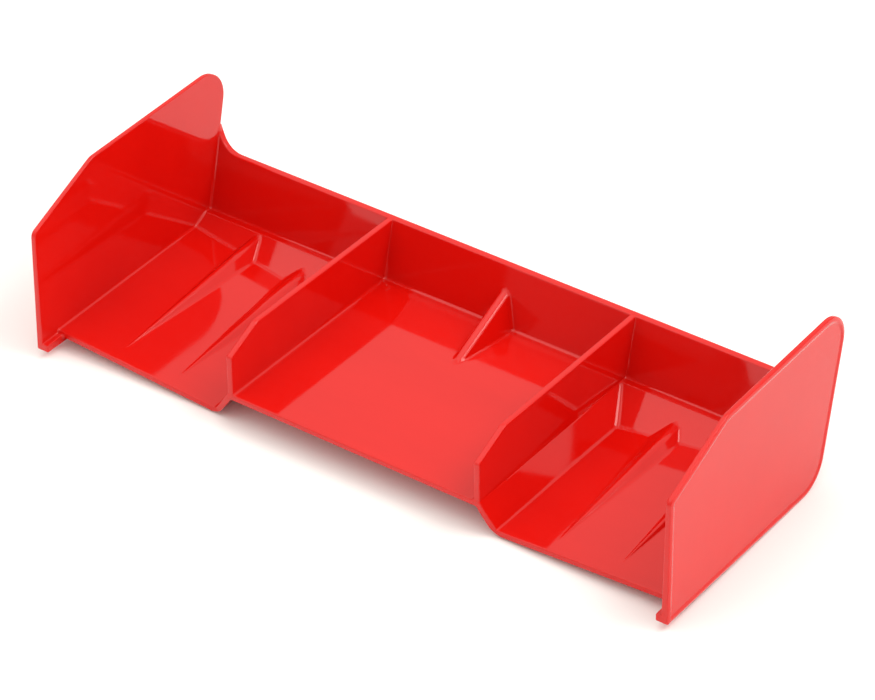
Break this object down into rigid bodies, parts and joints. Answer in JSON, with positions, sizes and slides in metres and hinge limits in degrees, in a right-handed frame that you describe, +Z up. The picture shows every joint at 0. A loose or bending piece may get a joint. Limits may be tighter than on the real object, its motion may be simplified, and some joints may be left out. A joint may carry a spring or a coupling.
{
  "type": "rc car rear wing",
  "caption": "Moulded model-car rear wing: flat centre deck, dropped side trays with strakes, leaning rear wall, dividers, centre gusset and tall end plates.",
  "frame": {"origin": "centre of the bounding box, on the plane the wing stands on", "axes": "+X along the span to the right plate, +Y rearwards along the air flow, +Z up"},
  "size_m": [0.2082, 0.0846, 0.0526],
  "materials": {
    "moulded_shell": "gloss"
  },
  "bodies": {
    "root": {"centre_deck": "moulded_shell", "rear_wall": "moulded_shell", "centre_gusset": "moulded_shell", "left_divider": "moulded_shell", "right_divider": "moulded_shell", "left_tray_step": "moulded_shell", "right_tray_step": "moulded_shell", "left_tray_floor": "moulded_shell", "right_tray_floor": "moulded_shell", "left_tray_ramp": "moulded_shell", "right_tray_ramp": "moulded_shell", "left_inner_strake": "moulded_shell", "right_inner_strake": "moulded_shell", "left_outer_strake": "moulded_shell", "right_outer_strake": "moulded_shell", "left_corner_web": "moulded_shell", "right_corner_web": "moulded_shell", "left_end_plate": "moulded_shell", "right_end_plate": "moulded_shell", "left_foot_rail": "moulded_shell", "right_foot_rail": "moulded_shell"}
  },
  "joints": []
}
